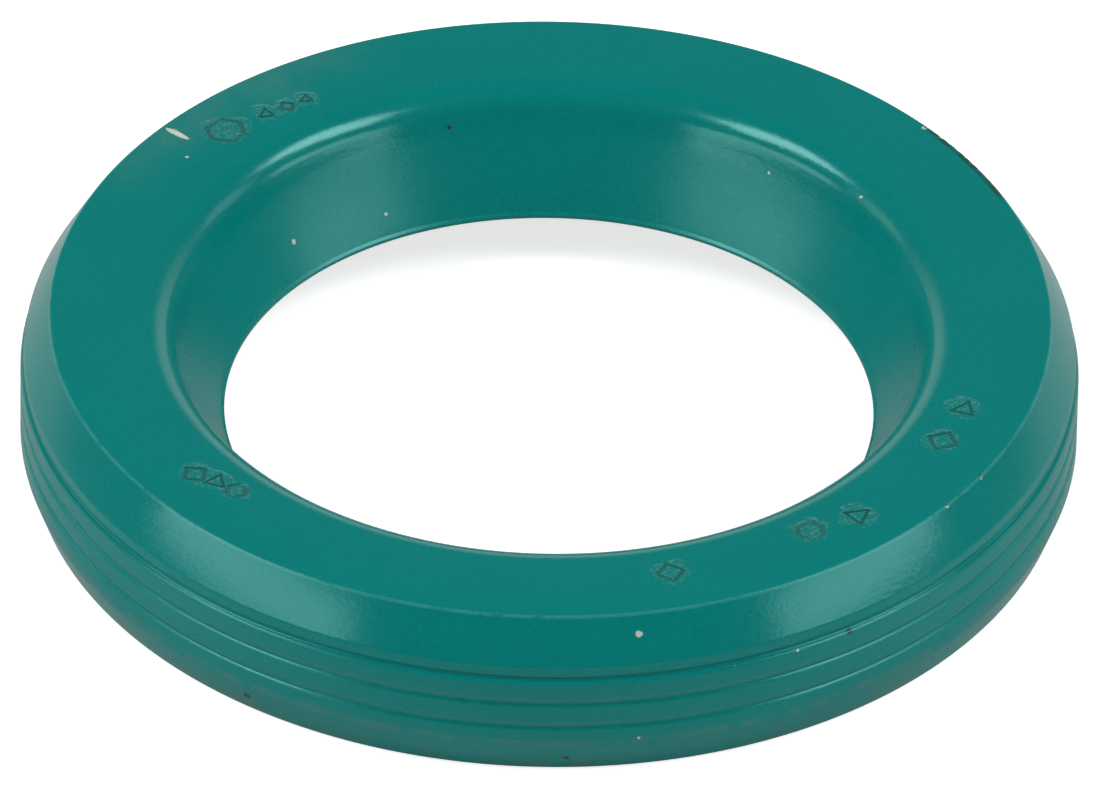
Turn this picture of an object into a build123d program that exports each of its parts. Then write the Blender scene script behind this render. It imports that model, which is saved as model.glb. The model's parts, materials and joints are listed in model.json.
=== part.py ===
from build123d import *

import os
from math import radians, tan

# Radial shaft seal for a 12 mm shaft in an 18 mm housing bore, 3 mm wide: one sealing lip,
# no garter spring, a ribbed outside wall, and a pressed steel ring bonded inside the rubber.
# Millimetres. The shaft axis is Z. The rim on the lip side stands on Z = 0, and the flat
# face that the fitting tool presses on is at Z = WIDTH.
# Each piece is drawn as a sharp-cornered outline of (radius, height), turned once round Z,
# and its corners are then rounded.

# Nominal sizes
SHAFT_DIAMETER = 12.0
BORE_DIAMETER = 18.0
WIDTH = 3.0

# Outside wall: four ribs that the bore squeezes, with scooped grooves between them. The last
# groove is a deeper V, so the last rib has a long back.
PRESS_ALLOWANCE = 0.20  # crests over bore, on the diameter
CREST_HEIGHTS = (2.13, 1.64, 1.15, 0.59)
CREST_LAND = 0.06
SCOOP_RATIO = 0.245  # depth of a groove over its width
LAST_GROOVE_DEPTH = 0.20
LAST_GROOVE_HEIGHT = 0.80
LEAD_IN_ANGLE = 27.0  # from the axis
LEAD_IN_HEIGHT = 0.65
FACE_RADIUS = 8.60  # top of the lead-in cone, where the flat face ends
RIM_OUTER_RADIUS = 8.86  # foot of the cone below the last rib

# Lip: a hollowed wall on the face side and a short cone on the grooved side meet at a narrow
# land, beside the bevel where the lip was trimmed
LIP_PRELOAD = 0.82  # shaft over free lip, on the diameter
LAND_TOP = 1.00
LAND_BOTTOM = 0.94
TRIM_WIDTH = 0.05
TRIM_HEIGHT = 0.04
THROAT_RADIUS = 6.57  # where the hollowed wall would meet the flat face
WALL_HOLLOW = 0.08
LIP_TOE = (6.00, 0.42)
LIP_HEEL = (6.34, 0.36)
LIP_ROOT_RADIUS = 6.56

# Groove that lets the lip flex, open on the lip side
GROOVE_FLOOR = 1.80
RIM_INNER_TOP = 7.44
RIM_INNER_BOTTOM = 7.56

# Corner roundings of the rubber
ENTRY_ROUNDING = 0.46  # from the flat face into the throat
RIDGE_ROUNDING = 0.03
TOE_ROUNDING = 0.06
HEEL_ROUNDING = 0.08
GROOVE_ROUNDING = 0.35
RIM_INNER_ROUNDING = 0.08
RIM_OUTER_ROUNDING = 0.06
LAST_GROOVE_ROUNDING = 0.12

# Steel ring: an L of sheet, one leg across the face and one along the bore
SHEET = 0.40
STEEL_INNER_RADIUS = 7.15
STEEL_OUTER_RADIUS = 8.40
STEEL_TOP = 2.50
STEEL_BOTTOM = 0.40
BEND_ROUNDING = 0.10  # inside the bend

CREST_RADIUS = (BORE_DIAMETER + PRESS_ALLOWANCE) / 2
LIP_RADIUS = (SHAFT_DIAMETER - LIP_PRELOAD) / 2


def turned(outline):
    """Solid of revolution from a closed outline of (radius, height)."""
    return revolve(Plane.XZ * make_face(outline), Axis.Z)


def round_corner(solid, corner, rounding):
    """Round the circular edge of the solid that lies nearest a corner of its outline."""

    def distance(edge):
        return (Vector(edge.radius, edge.arc_center.Z) - Vector(*corner)).length

    circles = solid.edges().filter_by(GeomType.CIRCLE)
    return fillet(circles.sort_by(distance)[0], rounding)


def inside_wall():
    """Land, trimmed bevel and hollowed wall, from the sealing edge up to the flat face."""
    land_bottom = (LIP_RADIUS, LAND_BOTTOM)
    land_top = (LIP_RADIUS, LAND_TOP)
    bevel_top = (LIP_RADIUS + TRIM_WIDTH, LAND_TOP + TRIM_HEIGHT)
    return [
        Polyline(land_bottom, land_top, bevel_top),
        SagittaArc(bevel_top, (THROAT_RADIUS, WIDTH), -WALL_HOLLOW),
    ]


def face_and_lead_in():
    """Flat face, lead-in cone, and the flank that curves out to the first rib's land."""
    cone_foot = (
        FACE_RADIUS + LEAD_IN_HEIGHT * tan(radians(LEAD_IN_ANGLE)),
        WIDTH - LEAD_IN_HEIGHT,
    )
    path = Polyline((THROAT_RADIUS, WIDTH), (FACE_RADIUS, WIDTH), cone_foot)
    first_land = (CREST_RADIUS, CREST_HEIGHTS[0] + CREST_LAND / 2)
    return [path, TangentArc(cone_foot, first_land, tangent=path % 1)]


def crest_land(height):
    """Narrow cylindrical top of one rib."""
    half = CREST_LAND / 2
    return Line((CREST_RADIUS, height + half), (CREST_RADIUS, height - half))


def scooped_groove(upper, lower):
    """Groove of one arc between the lands of two ribs."""
    top = upper - CREST_LAND / 2
    bottom = lower + CREST_LAND / 2
    deepest = CREST_RADIUS - SCOOP_RATIO * (top - bottom)
    middle = (deepest, (top + bottom) / 2)
    return ThreePointArc((CREST_RADIUS, top), middle, (CREST_RADIUS, bottom))


def ribbed_wall():
    """Four ribs: scooped grooves between the first three and a V above the last."""
    first, second, third, last = CREST_HEIGHTS
    half = CREST_LAND / 2
    return [
        *[crest_land(height) for height in CREST_HEIGHTS],
        scooped_groove(first, second),
        scooped_groove(second, third),
        Polyline((CREST_RADIUS, third - half), LAST_GROOVE_BOTTOM, (CREST_RADIUS, last + half)),
    ]


def lip_side():
    """From the last rib round the rim, up the flex groove and down the lip's back."""
    return Polyline(
        (CREST_RADIUS, CREST_HEIGHTS[-1] - CREST_LAND / 2),
        (RIM_OUTER_RADIUS, 0),
        (RIM_INNER_BOTTOM, 0),
        (RIM_INNER_TOP, GROOVE_FLOOR),
        (LIP_ROOT_RADIUS, GROOVE_FLOOR),
        LIP_HEEL,
        LIP_TOE,
        (LIP_RADIUS, LAND_BOTTOM),
    )


LAST_GROOVE_BOTTOM = (CREST_RADIUS - LAST_GROOVE_DEPTH, LAST_GROOVE_HEIGHT)
RUBBER_ROUNDINGS = {
    (THROAT_RADIUS, WIDTH): ENTRY_ROUNDING,
    (FACE_RADIUS, WIDTH): RIDGE_ROUNDING,
    LAST_GROOVE_BOTTOM: LAST_GROOVE_ROUNDING,
    (RIM_OUTER_RADIUS, 0): RIM_OUTER_ROUNDING,
    (RIM_INNER_BOTTOM, 0): RIM_INNER_ROUNDING,
    (RIM_INNER_TOP, GROOVE_FLOOR): GROOVE_ROUNDING,
    (LIP_ROOT_RADIUS, GROOVE_FLOOR): GROOVE_ROUNDING,
    LIP_HEEL: HEEL_ROUNDING,
    LIP_TOE: TOE_ROUNDING,
}


def stiffening_ring():
    """Pressed steel ring of L section that keeps the rubber round and tight in the bore."""
    outside_bend = (STEEL_OUTER_RADIUS, STEEL_TOP)
    inside_bend = (STEEL_OUTER_RADIUS - SHEET, STEEL_TOP - SHEET)
    outline = Polyline(
        (STEEL_INNER_RADIUS, STEEL_TOP - SHEET),
        inside_bend,
        (STEEL_OUTER_RADIUS - SHEET, STEEL_BOTTOM),
        (STEEL_OUTER_RADIUS, STEEL_BOTTOM),
        outside_bend,
        (STEEL_INNER_RADIUS, STEEL_TOP),
        close=True,
    )
    ring = turned(outline)
    ring = round_corner(ring, outside_bend, BEND_ROUNDING + SHEET)
    return round_corner(ring, inside_bend, BEND_ROUNDING)


def rubber_body(steel):
    """Body, ribs and lip, moulded as one piece round the steel ring."""
    body = turned([*inside_wall(), *face_and_lead_in(), *ribbed_wall(), lip_side()])
    for corner, rounding in RUBBER_ROUNDINGS.items():
        body = round_corner(body, corner, rounding)
    return body - steel


steel = stiffening_ring()
nodes = {
    "rubber_body": rubber_body(steel),
    "stiffening_ring": steel,
}
os.makedirs("parts", exist_ok=True)
for name, solid in nodes.items():
    export_step(solid, f"parts/{name}.step")
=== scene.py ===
"""The looks of a rubber-covered radial shaft seal: a 12 mm shaft, an 18 mm bore, 3 mm wide.

Modelling is done in millimetres, and each finished piece is brought to metres at the end.
"""

import json
from math import asin, cos, degrees, hypot, pi, radians, sin, tan

import bmesh
import bpy
from bpy.props import FloatProperty, FloatVectorProperty, IntProperty, PointerProperty
from bpy.types import Operator, Panel, PropertyGroup
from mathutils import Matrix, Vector


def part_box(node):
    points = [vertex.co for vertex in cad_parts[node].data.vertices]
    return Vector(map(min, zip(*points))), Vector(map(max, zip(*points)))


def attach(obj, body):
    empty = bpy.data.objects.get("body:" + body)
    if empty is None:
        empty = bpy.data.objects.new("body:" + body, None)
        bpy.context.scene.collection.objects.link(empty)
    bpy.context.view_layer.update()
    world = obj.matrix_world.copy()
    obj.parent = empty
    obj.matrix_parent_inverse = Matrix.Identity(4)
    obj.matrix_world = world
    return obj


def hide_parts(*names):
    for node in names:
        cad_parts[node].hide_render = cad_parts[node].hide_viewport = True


bl_info = {
    "name": "Radial Shaft Seal",
    "version": (1, 0, 0),
    "blender": (4, 5, 0),
    "location": "View3D > Sidebar > Seal",
    "description": "Adds a rubber-covered radial shaft seal and a small studio stage for it",
    "category": "Add Mesh",
}

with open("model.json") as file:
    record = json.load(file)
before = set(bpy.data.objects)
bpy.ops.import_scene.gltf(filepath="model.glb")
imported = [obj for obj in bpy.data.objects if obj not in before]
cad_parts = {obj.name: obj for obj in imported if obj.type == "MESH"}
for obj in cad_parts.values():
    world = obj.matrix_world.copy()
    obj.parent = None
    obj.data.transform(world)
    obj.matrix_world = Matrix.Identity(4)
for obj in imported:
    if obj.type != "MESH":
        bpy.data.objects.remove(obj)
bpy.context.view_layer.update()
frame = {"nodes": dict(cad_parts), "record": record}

MM = 0.001
BODY = "root"
SMOOTH_ANGLE = radians(35)
SAME_PLACE = 0.0001  # millimetres between a drawn corner and the place that it is looked for
SEAM_GAP = 0.0005  # millimetres within which the spun section's seam is closed
MOUNTS = {mount["name"]: mount for mount in frame["record"]["mounts"]}
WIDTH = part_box("rubber_body")[1][2] / MM
RIB_RADIUS = MOUNTS["housing_seat"]["dims"]["r_mm"]
LIP_RADIUS = MOUNTS["shaft_lip"]["dims"]["r_mm"]

# Outside wall, millimetres: places are (radius, height), with a rounding where a third number
# follows. Each rib is an upright land that ends in a sharp edge. Under the edge the wall turns in,
# and steps out again to the next land. The first rib's edge stands a little further in.
LEAD_IN_FOOT = (9.035, 2.235, 0.12)
FIRST_EDGE = (9.05, 2.085)
FIRST_GROOVE = (9.015, 1.975)
FIRST_SHOULDER = 1.93
EDGE_HEIGHTS = (1.63, 1.14, 0.59)
GROOVE_DEPTH = 0.045
GROOVE_DROP = 0.145  # from an edge down to the bottom of the groove under it
SHOULDER_DROP = 0.18  # from an edge down to the top of the next land
EDGE_ROUNDING = 0.02
GROOVE_ROUNDING = 0.03
SHOULDER_ROUNDING = 0.06
RIM_OUTER = (8.89, 0.0, 0.06)
RIM_INNER = (7.56, 0.0, 0.08)

# Lip and flex groove, millimetres
LAND_TOP = 1.00
LAND_BOTTOM = 0.94
LAND_ROUNDING = 0.01
BEVEL_TOP = (5.64, 1.04)  # where the trimmed bevel beside the sealing edge ends
BEVEL_ROUNDING = 0.02
LIP_TOE = (6.12, 0.58, 0.06)
LIP_HEEL = (6.40, 0.50, 0.08)
LIP_ROOT_RADIUS = 6.56
GROOVE_OUTER_RADIUS = 7.44
FLEX_GROOVE_ROUNDING = 0.35
WALL_STEPS = 24
ENTRY_SHARE = 0.78  # the share of the entry rounding that the wall's corners stay clear of

# Moulded marks in the face: (azimuth in degrees, radius, sides, size). They stand for nothing.
FACE_MARKS = (
    (-132.4, 7.70, 6, 0.34),
    (-138.8, 7.58, 3, 0.15),
    (-142.0, 7.53, 4, 0.13),
    (-145.0, 7.52, 3, 0.12),
    (-51.6, 7.66, 4, 0.22),
    (-48.6, 7.50, 3, 0.20),
    (-45.4, 7.42, 6, 0.18),
    (16.1, 7.60, 4, 0.24),
    (36.4, 7.53, 6, 0.24),
    (43.2, 7.71, 3, 0.24),
    (62.8, 7.56, 4, 0.26),
    (70.3, 7.54, 3, 0.22),
)
MARK_WIDTH = 0.13  # of the bar that presses a mark's groove
MARK_DEPTH = 0.03

# Nicks in the ridge: (azimuth in degrees, radius, size)
RIDGE_NICKS = (
    (131.1, 8.58, 0.05),
    (128.6, 8.60, 0.07),
    (127.1, 8.61, 0.05),
    (125.4, 8.60, 0.06),
    (123.8, 8.61, 0.05),
    (122.5, 8.60, 0.07),
    (120.9, 8.61, 0.05),
    (119.2, 8.60, 0.06),
    (117.8, 8.61, 0.05),
    (52.1, 8.60, 0.05),
    (58.9, 8.60, 0.06),
)

# Sliver of pale flash by the ridge, and the dent that it lies in
SLIVER_PLACE = (-128.0, 8.28, 3.0)  # azimuth in degrees, radius, height
SLIVER_TURN = 142.0  # degrees
SLIVER_SIZE = 0.27  # half its length
SLIVER_STRETCH = (1.0, 0.22, 0.06)
SLIVER_SINK = 0.022
DENT_SIZE = 0.30  # half its length
DENT_STRETCH = (1.0, 0.30, 0.14)

# Pale flecks stuck to the rubber, and dark ones: (azimuth in degrees, radius, height, size)
PALE_FLECKS = (
    (10.4, 8.77, 2.68, 0.065),
    (52.1, 8.60, 2.98, 0.045),
    (58.9, 8.60, 2.98, 0.050),
    (131.1, 8.55, 3.00, 0.065),
    (125.7, 6.55, 2.81, 0.050),
    (143.7, 6.31, 2.35, 0.045),
    (-150.3, 5.81, 1.37, 0.045),
    (-131.2, 5.92, 1.58, 0.060),
    (-124.7, 7.71, 3.00, 0.035),
    (20.7, 9.10, 1.97, 0.040),
    (28.1, 9.10, 1.94, 0.035),
    (10.2, 9.08, 0.73, 0.040),
)
DARK_FLECKS = (
    (-163.5, 6.37, 2.47, 0.050),
    (-170.3, 6.73, 2.96, 0.040),
    (34.6, 9.08, 1.96, 0.070),
    (2.5, 8.99, 0.30, 0.060),
    (-34.0, 9.02, 0.35, 0.080),
    (47.0, 8.98, 0.40, 0.070),
)

# Colours of what lies on the rubber, and of where it is worn. Three of them also stand for
# painted light: the last groove's grey is partly a painted reflection, the marks' dirt is partly
# painted shade and the worn ridge is partly a painted highlight.
GROOVE_DUST_AND_REFLECTION = (0.16, 0.20, 0.18)
FOOT_DARKENING = (0.13, 0.15, 0.12)
FACE_VEIL = (0.25, 0.34, 0.30)
MARK_DIRT_AND_SHADE = (0.06, 0.16, 0.135)
PALE_CRUMBS = (0.20, 0.33, 0.29)
DARK_CRUMBS = (0.01, 0.12, 0.10)
RIDGE_WEAR_AND_HIGHLIGHT = (0.07, 0.38, 0.35)
NICKED_RIDGE = (0.02, 0.07, 0.06)
PALE_FLECK = (0.62, 0.66, 0.58)
DARK_FLECK = (0.03, 0.05, 0.04)

# Lamps, all upright and as many metres from the shaft axis: (name, azimuths and elevations in
# degrees that it spans, brightness beside the stage's softbox setting)
SOFTBOX_DISTANCE = 0.3
SOFTBOXES = (
    ("left_softbox", (-40, -87), (9, 22), 1.15),
    ("left_softbox_top", (-60, -103), (41, 57), 3.0),
    ("left_softbox_rear", (-98, -117), (12, 30), 0.4),
    ("right_softbox", (48, 87), (9, 22), 1.15),
    ("right_softbox_top", (60, 103), (41, 57), 3.0),
    ("right_softbox_rear", (98, 117), (12, 30), 0.4),
)

# Board under the seal, and what the camera looks at, millimetres
BOARD_RADIUS = 30.0
BOARD_DROP = 0.01
BOARD_GLOW = 0.75  # makes the board look white where nothing shades it
CAMERA_TARGET = (0.015, -0.100, 1.366)


# ---------------------------------------------------------------------------- properties


def length(name, description, millimetres):
    """A length property that is stated in millimetres and kept in metres."""
    return FloatProperty(
        name=name, description=description, default=millimetres * MM, min=0.0, unit="LENGTH",
        precision=5,
    )


class SealSizes(PropertyGroup):
    """Sizes of the seal's section that tell one seal from another."""

    face_radius: length("Face radius", "Where the flat face meets the lead-in cone", 8.60)
    throat_radius: length("Throat radius", "Where the hollowed wall would meet the face", 6.63)
    wall_hollow: length("Wall hollow", "How deep the inside wall is hollowed", 0.04)
    groove_floor: length("Groove floor", "Height of the flex groove's floor", 1.80)
    entry_rounding: length("Entry rounding", "Rounding from the face into the throat", 0.60)
    ridge_rounding: length("Ridge rounding", "Rounding of the face's outer ridge", 0.03)
    steps: IntProperty(
        name="Steps", description="Steps that the section is spun in", default=288, min=24
    )


class RubberFinish(PropertyGroup):
    """Colour and surface of the moulded rubber."""

    colour: FloatVectorProperty(
        name="Colour", description="Colour of clean rubber", subtype="COLOR", size=3,
        default=(0.0010, 0.258, 0.236), min=0.0, max=1.0,
    )
    sheen_tint: FloatVectorProperty(
        name="Sheen tint", description="Tint of the reflections seen face on", subtype="COLOR",
        size=3, default=(0.45, 1.0, 0.93), min=0.0, max=1.0,
    )
    roughness: FloatProperty(
        name="Roughness", description="Roughness of the outside", default=0.17, min=0.0, max=1.0
    )
    specular: FloatProperty(
        name="Specular", description="Strength of reflections seen face on", default=0.5,
        min=0.0, max=1.0,
    )


class StageSettings(PropertyGroup):
    """Light and camera of the studio stage."""

    ambient: FloatProperty(
        name="Ambient", description="Brightness of the room, where white is 1", default=0.11,
        min=0.0,
    )
    softbox: FloatProperty(
        name="Softboxes", description="Brightness of each softbox, where white is 1", default=3.0,
        min=0.0,
    )
    camera_elevation: FloatProperty(
        name="Camera elevation", description="How far the camera looks down", subtype="ANGLE",
        default=radians(36.64),
    )
    camera_roll: FloatProperty(
        name="Camera roll", description="How far the camera is turned about its own axis",
        subtype="ANGLE", default=radians(0.97),
    )
    camera_distance: length("Camera distance", "From the camera to the seal", 400.0)
    lens: FloatProperty(
        name="Lens", description="Focal length", default=0.7608, unit="LENGTH", min=0.001
    )


# ------------------------------------------------------------------------- mesh operators


def deselect_all():
    """Leave edit mode and deselect every object, so that the next primitive is alone."""
    if bpy.context.object and bpy.context.object.mode != "OBJECT":
        bpy.ops.object.mode_set(mode="OBJECT")
    bpy.ops.object.select_all(action="DESELECT")


def select_vertices(test):
    """Select the edited mesh's vertices that pass a test of their place, and count them."""
    bpy.ops.mesh.select_all(action="DESELECT")
    mesh = bpy.context.object.data
    edited = bmesh.from_edit_mesh(mesh)
    matrix = bpy.context.object.matrix_world
    found = 0
    for vertex in edited.verts:
        if test(matrix @ vertex.co):
            vertex.select = True
            found += 1
    edited.select_flush_mode()
    bmesh.update_edit_mesh(mesh)
    return found


def finish_piece(name, material):
    """Name the active piece, bring it from millimetres to metres and let it ride on the seal."""
    piece = bpy.context.object
    bpy.ops.transform.resize(value=(MM, MM, MM), center_override=(0, 0, 0))
    bpy.ops.object.transform_apply(location=True, rotation=True, scale=True)
    bpy.ops.object.shade_smooth_by_angle(angle=SMOOTH_ANGLE)
    piece.name = name
    piece.data.name = name
    piece.data.materials.clear()
    piece.data.materials.append(material)
    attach(piece, BODY)
    return piece


def place_at(azimuth, radius, height):
    """A place in millimetres from its azimuth in degrees, from the front towards +X."""
    turn = radians(azimuth)
    return Vector((radius * sin(turn), -radius * cos(turn), height))


# ------------------------------------------------------------------------------- section


def arc_points(start, end, sagitta, count):
    """Points of an arc between two ends, without the ends.

    It bulges to the left of the way there, or to the right where the sagitta is negative.
    """
    chord = hypot(end[0] - start[0], end[1] - start[1])
    radius = (chord**2 / 4 + sagitta**2) / (2 * abs(sagitta))
    half = asin(chord / 2 / radius)
    along = Vector((end[0] - start[0], end[1] - start[1])) / chord
    left = Vector((-along.y, along.x)) * (1 if sagitta > 0 else -1)
    middle = (Vector(start) + Vector(end)) / 2
    points = []
    for step in range(1, count):
        turn = half * (2 * step / count - 1)
        rise = radius * (cos(turn) - cos(half))
        points.append(tuple(middle + along * radius * sin(turn) + left * rise))
    return points


def seal_outline(sizes):
    """The section's corners as (radius, height, rounding), once round from the sealing edge."""
    throat = (sizes.throat_radius / MM, WIDTH)
    face_end = (sizes.face_radius / MM, WIDTH)
    floor = sizes.groove_floor / MM
    outline = [
        (LIP_RADIUS, LAND_BOTTOM, LAND_ROUNDING),
        (LIP_RADIUS, LAND_TOP, LAND_ROUNDING),
        (*BEVEL_TOP, BEVEL_ROUNDING),
    ]
    wall = arc_points(BEVEL_TOP, throat, -sizes.wall_hollow / MM, WALL_STEPS)
    clear = ENTRY_SHARE * sizes.entry_rounding / MM
    outline += [(*point, 0.0) for point in wall if (Vector(point) - Vector(throat)).length > clear]
    outline += [
        (*throat, sizes.entry_rounding / MM),
        (*face_end, sizes.ridge_rounding / MM),
        LEAD_IN_FOOT,
        (*FIRST_EDGE, EDGE_ROUNDING),
        (*FIRST_GROOVE, GROOVE_ROUNDING),
        (RIB_RADIUS, FIRST_SHOULDER, SHOULDER_ROUNDING),
    ]
    for edge in EDGE_HEIGHTS[:-1]:
        outline += edge_and_groove(edge)
    outline += [
        (RIB_RADIUS, EDGE_HEIGHTS[-1], EDGE_ROUNDING),
        RIM_OUTER,
        RIM_INNER,
        (GROOVE_OUTER_RADIUS, floor, FLEX_GROOVE_ROUNDING),
        (LIP_ROOT_RADIUS, floor, FLEX_GROOVE_ROUNDING),
        LIP_HEEL,
        LIP_TOE,
    ]
    return outline


def edge_and_groove(edge):
    """A land's lower edge, the groove under it and the shoulder of the next land."""
    return [
        (RIB_RADIUS, edge, EDGE_ROUNDING),
        (RIB_RADIUS - GROOVE_DEPTH, edge - GROOVE_DROP, GROOVE_ROUNDING),
        (RIB_RADIUS, edge - SHOULDER_DROP, SHOULDER_ROUNDING),
    ]


def draw_section(outline):
    """Draw the section as one face in the XZ plane, and leave it in edit mode."""
    deselect_all()
    bpy.ops.mesh.primitive_plane_add(size=1.0, location=(outline[0][0], 0, outline[0][1]))
    bpy.ops.object.mode_set(mode="EDIT")
    bpy.ops.mesh.select_all(action="SELECT")
    bpy.ops.mesh.merge(type="CENTER")
    for here, there in zip(outline, outline[1:]):
        step = (there[0] - here[0], 0, there[1] - here[1])
        bpy.ops.mesh.extrude_vertices_move(TRANSFORM_OT_translate={"value": step})
    bpy.ops.mesh.select_all(action="SELECT")
    bpy.ops.mesh.edge_face_add()


def round_corners(outline):
    """Bevel each corner of the drawn section that has a rounding."""
    count = len(outline)
    for index, (radius, height, rounding) in enumerate(outline):
        if not rounding:
            continue
        before = Vector(outline[index - 1][:2])
        after = Vector(outline[(index + 1) % count][:2])
        corner = Vector((radius, height))
        turn = (corner - before).angle(after - corner)
        place = Vector((radius, 0, height))
        if not select_vertices(lambda point: (point - place).length < SAME_PLACE):
            raise RuntimeError(f"no corner at {place}")
        segments = max(3, min(12, round(degrees(turn) / 8)))
        bpy.ops.mesh.bevel(
            offset=rounding * tan(turn / 2), segments=segments, profile=0.5, affect="VERTICES"
        )


def spin_section(steps):
    """Spin the drawn section once round the shaft axis and close the seam."""
    bpy.ops.mesh.select_all(action="SELECT")
    bpy.ops.mesh.delete(type="ONLY_FACE")
    bpy.ops.mesh.select_all(action="SELECT")
    bpy.ops.mesh.spin(steps=steps, angle=2 * pi, center=(0, 0, 0), axis=(0, 0, 1))
    bpy.ops.mesh.select_all(action="SELECT")
    bpy.ops.mesh.remove_doubles(threshold=SEAM_GAP)
    bpy.ops.mesh.normals_make_consistent(inside=False)


def add_mark_cutter(azimuth, radius, sides, size):
    """A round bar bent to a ring of straight sides, which is sunk a little into the face."""
    bpy.ops.mesh.primitive_torus_add(
        location=place_at(azimuth, radius, WIDTH + MARK_WIDTH / 2 - MARK_DEPTH),
        rotation=(0, 0, radians(azimuth)),
        major_segments=sides,
        minor_segments=10,
        major_radius=size,
        minor_radius=MARK_WIDTH / 2,
    )
    return bpy.context.object


def add_ball_cutter(place, size, stretch=(1, 1, 1), turn=0.0):
    """A ball, drawn out where it should leave a longer dent."""
    bpy.ops.mesh.primitive_ico_sphere_add(
        subdivisions=2, radius=size, location=place, rotation=(0, 0, turn), scale=stretch
    )
    return bpy.context.object


def carve(piece, cutters):
    """Take the cutters' shapes out of a piece, and delete the cutters."""
    deselect_all()
    for cutter in cutters:
        cutter.select_set(True)
    bpy.context.view_layer.objects.active = cutters[0]
    bpy.ops.object.join()
    joined = bpy.context.object
    deselect_all()
    piece.select_set(True)
    bpy.context.view_layer.objects.active = piece
    cut = piece.modifiers.new("carve", "BOOLEAN")
    cut.operation = "DIFFERENCE"
    cut.solver = "EXACT"
    cut.use_self = True
    cut.object = joined
    bpy.ops.object.modifier_apply(modifier=cut.name)
    bpy.data.objects.remove(joined)


# ----------------------------------------------------------------------------- materials


class Field:
    """A number that varies over a surface. Arithmetic on it adds Math nodes to its tree."""

    def __init__(self, finish, socket):
        self.finish = finish
        self.socket = socket

    def math(self, operation, *operands, clamp=False):
        settings = {"operation": operation, "use_clamp": clamp}
        node = self.finish.add("Math", settings, dict(enumerate(operands)))
        return Field(self.finish, node.outputs[0])

    def __add__(self, other):
        return self.math("ADD", self, other)

    def __radd__(self, other):
        return self.math("ADD", other, self)

    def __sub__(self, other):
        return self.math("SUBTRACT", self, other)

    def __rsub__(self, other):
        return self.math("SUBTRACT", other, self)

    def __mul__(self, other):
        return self.math("MULTIPLY", self, other)

    def __rmul__(self, other):
        return self.math("MULTIPLY", other, self)

    def __truediv__(self, other):
        return self.math("DIVIDE", self, other)

    def root(self):
        return self.math("SQRT", self)

    def clamped(self):
        return self.math("ADD", self, 0.0, clamp=True)

    def rise(self, low, high):
        """0 below low and 1 above high, or the other way round where low is the larger."""
        settings = {"interpolation_type": "SMOOTHSTEP"}
        flip = low > high
        inputs = {"Value": self, "From Min": min(low, high), "From Max": max(low, high)}
        result = Field(self.finish, self.finish.add("MapRange", settings, inputs).outputs[0])
        return 1.0 - result if flip else result

    def band(self, low, high, blur):
        """1 between low and high, with blurred edges."""
        return self.rise(low - blur, low + blur) * self.rise(high + blur, high - blur)


class Finish:
    """The node tree of a material or the world, and the method that adds its nodes."""

    def __init__(self, owner):
        self.owner = owner
        owner.use_nodes = True
        self.tree = owner.node_tree
        self.tree.nodes.clear()
        self.coordinates = self.add("TexCoord").outputs
        inputs = {0: self.coordinates["Object"], "Scale": 1 / MM}
        self.millimetres = self.add("VectorMath", {"operation": "SCALE"}, inputs).outputs[0]

    def add(self, kind, settings=None, inputs=None):
        """Add a node of a kind, with its settings first and then its sockets' values or links."""
        node = self.tree.nodes.new("ShaderNode" + kind)
        for name, value in (settings or {}).items():
            setattr(node, name, value)
        for name, value in (inputs or {}).items():
            value = value.socket if isinstance(value, Field) else value
            if isinstance(value, bpy.types.NodeSocket):
                self.tree.links.new(value, node.inputs[name])
            else:
                node.inputs[name].default_value = value
        return node

    def axes(self):
        """The place on the piece in millimetres, as three fields."""
        node = self.add("SeparateXYZ", inputs={0: self.millimetres})
        return [Field(self, output) for output in node.outputs]

    def noise(self, size, detail=2.0, roughness=0.5):
        """Smooth noise whose features are about a size in millimetres."""
        inputs = {
            "Vector": self.millimetres,
            "Scale": 1 / size,
            "Detail": detail,
            "Roughness": roughness,
        }
        return Field(self, self.add("TexNoise", inputs=inputs).outputs[0])

    def near(self, place, reach):
        """1 near a place and 0 beyond a reach in millimetres, with a ragged edge."""
        node = self.add("VectorMath", {"operation": "DISTANCE"}, {0: self.millimetres, 1: place})
        ragged = Field(self, node.outputs["Value"]) + (self.noise(reach, detail=1.0) - 0.5) * reach
        return ragged.rise(reach, reach * 0.7)

    def mix(self, amount, low, high):
        """A colour between two colours."""
        inputs = {0: amount, 6: as_colour(low), 7: as_colour(high)}
        return self.add("Mix", {"data_type": "RGBA"}, inputs).outputs[2]

    def scaled(self, colour, amount):
        """A colour made brighter or darker by an amount that may pass 1."""
        node = self.add("VectorMath", {"operation": "SCALE"}, {0: colour, "Scale": amount})
        return node.outputs[0]

    def bump(self, height, depth):
        """A normal from a height that stands for a depth in millimetres where it is 1."""
        inputs = {"Height": height, "Distance": depth * MM, "Strength": 1.0}
        return self.add("Bump", inputs=inputs).outputs[0]

    def surface(self, inputs):
        """End a material's tree in a Principled shader."""
        shader = self.add("BsdfPrincipled", inputs=inputs)
        self.add("OutputMaterial", inputs={"Surface": shader.outputs[0]})
        return self.owner


def as_colour(value):
    """A colour socket as it is, or three numbers as a colour with full alpha."""
    return value if isinstance(value, bpy.types.NodeSocket) else (*value, 1.0)


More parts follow.
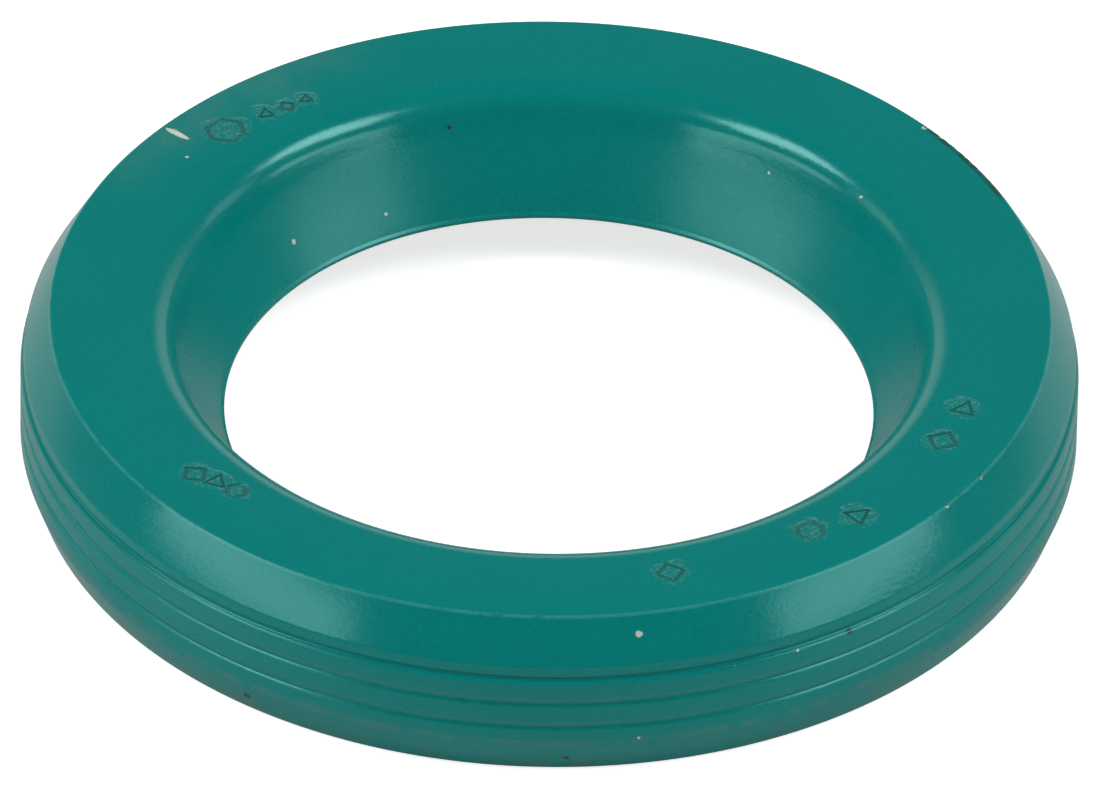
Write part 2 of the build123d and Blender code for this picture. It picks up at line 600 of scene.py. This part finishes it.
def rubber_material(settings):
    """Teal moulded rubber with a fine grain, dust, crusted marks, flecks and a worn ridge.

    Some of its colour is painted light: the grey band in the last groove is partly a painted
    reflection, the marks' dirt is partly painted shade and the pale ridge is partly a painted
    highlight.
    """
    finish = Finish(bpy.data.materials.new("moulded_rubber"))
    x, y, z = finish.axes()
    radius = (x * x + y * y).root()
    on_face = z.rise(2.97, 2.995)

    # Clean rubber, a little deeper in colour where the grain is low
    clean = tuple(settings.colour)
    deep = tuple(0.84 * part for part in clean)
    grain = finish.noise(0.06, detail=3.0, roughness=0.65)
    cloud = finish.noise(1.6, detail=2.0)
    shade = finish.mix(((grain - 0.5) * 2.8 + 0.5 + (cloud - 0.5) * 0.5).clamped(), deep, clean)

    # Last groove, with a grey band that is partly dust and partly a painted reflection; the foot
    # of the outside wall and the edge that it stands on, darker and greyer in patches towards the
    # bottom
    blotches = finish.noise(0.35, detail=4.0, roughness=0.65)
    patches = finish.noise(1.1, detail=3.0, roughness=0.6)
    in_groove = z.band(0.60, 0.74, 0.03) * radius.rise(8.85, 8.92)
    foot = z.rise(0.42, 0.02) * radius.rise(8.6, 8.8) * patches.rise(0.42, 0.70)
    edge = z.rise(0.07, 0.0) * radius.rise(8.6, 8.8) * blotches.rise(0.35, 0.60)

    # Veil of dust on the face, at its rear left
    rear_left = ((y * 0.72 - x * 0.69) / radius).rise(0.90, 0.99)
    veil = on_face * radius.rise(7.3, 8.4) * rear_left * patches.rise(0.20, 0.75)

    # Marks: dirt and painted shade in their grooves, and pale and dark crumbs round them
    in_mark = radius.band(7.15, 8.15, 0.05) * z.rise(2.998, 2.985) * z.rise(2.90, 2.95)
    crumbs = finish.noise(0.065, detail=2.0, roughness=0.7)
    crusts = [finish.near(place_at(azimuth, out, WIDTH), size + 0.14)
              for azimuth, out, _, size in FACE_MARKS]
    crust = sum(crusts).clamped() * on_face

    # Outer ridge of the face: rubbed pale all round, partly wear and partly a painted highlight,
    # and dark in the nicks at its rear right
    ridge_patches = blotches.rise(0.25, 0.55)
    ridge = radius.band(8.575, 8.630, 0.012) * z.rise(2.95, 2.975)
    rear_right = ((y * 0.55 + x * 0.84) / radius).rise(0.991, 0.996)
    nicked = rear_right * radius.band(8.50, 8.66, 0.02) * z.rise(2.90, 2.95)

    layers = [
        # grey band in the last groove: partly dust, partly a painted reflection
        (in_groove * blotches.rise(0.30, 0.62) * 0.30, GROOVE_DUST_AND_REFLECTION),
        # darker and greyer in patches towards the foot and its bottom edge
        ((foot * 0.45 + edge * 0.45).clamped(), FOOT_DARKENING),
        (veil * 0.14, FACE_VEIL),
        # marks' grooves darkened: partly dirt, partly painted shade
        (in_mark * (0.15 + blotches * 0.6), MARK_DIRT_AND_SHADE),
        (crust * crumbs.rise(0.50, 0.66) * 0.34, PALE_CRUMBS),
        (crust * crumbs.rise(0.42, 0.28) * 0.5, DARK_CRUMBS),
        # pale ridge: partly wear, partly a painted highlight
        (ridge * ridge_patches * 0.45, RIDGE_WEAR_AND_HIGHLIGHT),
        (nicked * ridge_patches * 0.8, NICKED_RIDGE),
    ]
    for flecks, colour in ((PALE_FLECKS, PALE_FLECK), (DARK_FLECKS, DARK_FLECK)):
        layers += [(finish.near(place_at(*place), size), colour) for *place, size in flecks]
    for amount, colour in layers:
        shade = finish.mix(amount, shade, colour)

    # The inside wall is duller than the rest
    inside = radius.rise(6.60, 6.45) * z.band(0.95, 2.30, 0.15)
    relief = finish.noise(0.09, detail=3.0, roughness=0.55)
    return finish.surface({
        "Base Color": shade,
        "Roughness": settings.roughness + inside * 0.12 + (blotches - 0.5) * 0.10,
        "IOR": 1.5,
        "Specular IOR Level": settings.specular,
        "Specular Tint": (*settings.sheen_tint, 1.0),
        "Normal": finish.bump(relief * 0.6 + grain * 0.4 + crust * crumbs * 4.0, 0.004),
    })


def flash_material():
    """Dry pale flash with a fine mottle."""
    finish = Finish(bpy.data.materials.new("pale_flash"))
    mottle = finish.noise(0.05, detail=3.0)
    shade = finish.mix(mottle, (0.55, 0.58, 0.48), (0.86, 0.86, 0.76))
    return finish.surface({"Base Color": shade, "Roughness": mottle * 0.3 + 0.5})


def steel_material():
    """Phosphated sheet steel with a fine rolled grain."""
    finish = Finish(bpy.data.materials.new("phosphated_steel"))
    grain = finish.noise(0.08, detail=3.0, roughness=0.6)
    shade = finish.mix(grain, (0.16, 0.16, 0.165), (0.27, 0.27, 0.28))
    return finish.surface({
        "Base Color": shade,
        "Metallic": 0.9,
        "Roughness": grain * 0.2 + 0.38,
        "Normal": finish.bump(grain, 0.004),
    })


# --------------------------------------------------------------------------------- pieces


class SEAL_OT_rubber_body(Operator):
    """Add the rubber, spun from one section, with its marks, its nicks and the flash's dent"""

    bl_idname = "seal.rubber_body"
    bl_label = "Rubber Body"

    def execute(self, context):
        sizes = context.scene.seal_sizes
        outline = seal_outline(sizes)
        draw_section(outline)
        round_corners(outline)
        spin_section(sizes.steps)
        bpy.ops.object.mode_set(mode="OBJECT")
        body = context.object
        cutters = [add_mark_cutter(*mark) for mark in FACE_MARKS]
        cutters += [add_ball_cutter(place_at(azimuth, radius, WIDTH), size)
                    for azimuth, radius, size in RIDGE_NICKS]
        dent = (place_at(*SLIVER_PLACE), DENT_SIZE, DENT_STRETCH, radians(SLIVER_TURN))
        cutters.append(add_ball_cutter(*dent))
        carve(body, cutters)
        rubber = rubber_material(context.scene.seal_rubber)
        body = finish_piece("moulded_rubber_body", rubber)
        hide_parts("rubber_body")
        return {"FINISHED"}


class SEAL_OT_flash_sliver(Operator):
    """Add the thin sliver of pale flash that lies in a dent of the face, by the ridge"""

    bl_idname = "seal.flash_sliver"
    bl_label = "Flash Sliver"

    def execute(self, context):
        deselect_all()
        bpy.ops.mesh.primitive_uv_sphere_add(
            segments=24,
            ring_count=12,
            radius=SLIVER_SIZE,
            location=place_at(*SLIVER_PLACE) - Vector((0, 0, SLIVER_SINK)),
            rotation=(0, 0, radians(SLIVER_TURN)),
            scale=SLIVER_STRETCH,
        )
        bpy.ops.object.transform_apply(location=True, rotation=True, scale=True)
        finish_piece("flash_sliver", flash_material())
        return {"FINISHED"}


class SEAL_OT_stiffening_ring(Operator):
    """Give the steel ring inside the rubber its phosphated sheet finish"""

    bl_idname = "seal.stiffening_ring"
    bl_label = "Stiffening Ring"

    def execute(self, context):
        ring = frame["nodes"]["stiffening_ring"]
        ring.data.materials.clear()
        ring.data.materials.append(steel_material())
        return {"FINISHED"}


# ---------------------------------------------------------------------------------- stage


def ray_is(finish, kind):
    """1 for rays of one kind, such as those the camera sees, and 0 for all others."""
    return Field(finish, finish.add("LightPath").outputs[f"Is {kind} Ray"])


def floor_material():
    """Matt white board that looks white where nothing shades it."""
    finish = Finish(bpy.data.materials.new("white_board"))
    fibre = finish.noise(0.6, detail=3.0)
    shade = finish.mix(fibre, (0.68, 0.68, 0.68), (0.72, 0.72, 0.72))
    return finish.surface({
        "Base Color": shade,
        "Roughness": 0.9,
        "Specular IOR Level": 0.0,
        "Emission Color": finish.scaled((1.0, 1.0, 1.0), ray_is(finish, "Camera")),
        "Emission Strength": BOARD_GLOW,
    })


def add_softbox(name, azimuths, elevations, brightness):
    """An upright lamp between two azimuths and two elevations, in degrees, facing the seal.

    Brightness is that of its front, white being 1.
    """
    start, end = azimuths
    middle = radians((start + end) / 2)
    half_width = SOFTBOX_DISTANCE * tan(radians(abs(end - start) / 2))
    bottom, top = (SOFTBOX_DISTANCE * tan(radians(elevation)) for elevation in elevations)
    ground = Vector((sin(middle), -cos(middle), 0)) * SOFTBOX_DISTANCE
    bpy.ops.object.light_add(type="AREA", location=ground + Vector((0, 0, (bottom + top) / 2)))
    lamp = bpy.context.object
    lamp.name = name
    lamp.rotation_euler = (pi / 2, 0, middle)
    lamp.data.shape = "RECTANGLE"
    lamp.data.size = 2 * half_width
    lamp.data.size_y = top - bottom
    lamp.data.energy = brightness * pi * lamp.data.size * lamp.data.size_y


def add_world(ambient):
    """A dim room, pale behind the seal and faintly so low at its sides. The camera sees white."""
    finish = Finish(bpy.data.worlds.new("room"))
    bpy.context.scene.world = finish.owner
    direction = finish.add("SeparateXYZ", inputs={0: finish.coordinates["Generated"]}).outputs
    y, z = (Field(finish, direction[axis]) for axis in "YZ")
    behind = y.rise(0.35, 0.80)
    low = z.rise(0.42, 0.30)
    at_side = y.rise(-0.6, 0.1) * z.rise(0.14, 0.06)
    brightness = behind * low * 0.70 + at_side * (1.0 - behind) * 0.06 + ambient
    colour = finish.scaled((1.0, 1.0, 1.0), brightness + ray_is(finish, "Camera"))
    background = finish.add("Background", inputs={"Color": colour, "Strength": 1.0})
    finish.add("OutputWorld", inputs={"Surface": background.outputs[0]})


def add_camera(stage):
    """The camera, a long way off with a long lens."""
    elevation = stage.camera_elevation
    target = Vector(CAMERA_TARGET) * MM
    back = Vector((0, -cos(elevation), sin(elevation)))
    bpy.ops.object.camera_add(location=target + back * stage.camera_distance)
    camera = bpy.context.object
    camera.name = "stage_camera"
    camera.rotation_mode = "ZYX"
    camera.rotation_euler = (pi / 2 - elevation, 0, stage.camera_roll)
    camera.data.sensor_width = 36.0
    camera.data.lens = stage.lens / MM
    camera.data.clip_start = 0.01
    camera.data.clip_end = 10.0
    bpy.context.scene.camera = camera


class SEAL_OT_stage(Operator):
    """Add the white board, the room's light, the softboxes and the camera"""

    bl_idname = "seal.stage"
    bl_label = "Studio Stage"

    def execute(self, context):
        stage = context.scene.seal_stage
        deselect_all()
        bpy.ops.mesh.primitive_circle_add(
            vertices=96,
            radius=BOARD_RADIUS * MM,
            fill_type="NGON",
            location=(0, 0, -BOARD_DROP * MM),
        )
        board = context.object
        board.name = "board"
        board.data.materials.append(floor_material())
        add_world(stage.ambient)
        for name, azimuths, elevations, share in SOFTBOXES:
            add_softbox(name, azimuths, elevations, stage.softbox * share)
        add_camera(stage)
        context.scene.view_settings.view_transform = "Standard"
        return {"FINISHED"}


class SEAL_PT_panel(Panel):
    """Lists the seal's pieces and settings"""

    bl_idname = "SEAL_PT_panel"
    bl_label = "Radial Shaft Seal"
    bl_space_type = "VIEW_3D"
    bl_region_type = "UI"
    bl_category = "Seal"

    def draw(self, context):
        layout = self.layout
        for operator in OPERATORS:
            layout.operator(operator.bl_idname)
        for group_name, group in GROUPS.items():
            box = layout.box()
            for name in group.__annotations__:
                box.prop(getattr(context.scene, group_name), name)


OPERATORS = (SEAL_OT_rubber_body, SEAL_OT_flash_sliver, SEAL_OT_stiffening_ring, SEAL_OT_stage)
GROUPS = {"seal_sizes": SealSizes, "seal_rubber": RubberFinish, "seal_stage": StageSettings}
CLASSES = (*GROUPS.values(), *OPERATORS, SEAL_PT_panel)


def register():
    for cls in CLASSES:
        bpy.utils.register_class(cls)
    for name, group in GROUPS.items():
        setattr(bpy.types.Scene, name, PointerProperty(type=group))


def unregister():
    for name in GROUPS:
        delattr(bpy.types.Scene, name)
    for cls in reversed(CLASSES):
        bpy.utils.unregister_class(cls)


def main():
    register()
    bpy.ops.seal.rubber_body()
    bpy.ops.seal.flash_sliver()
    bpy.ops.seal.stiffening_ring()
    bpy.ops.seal.stage()


if __name__ == "__main__":
    main()
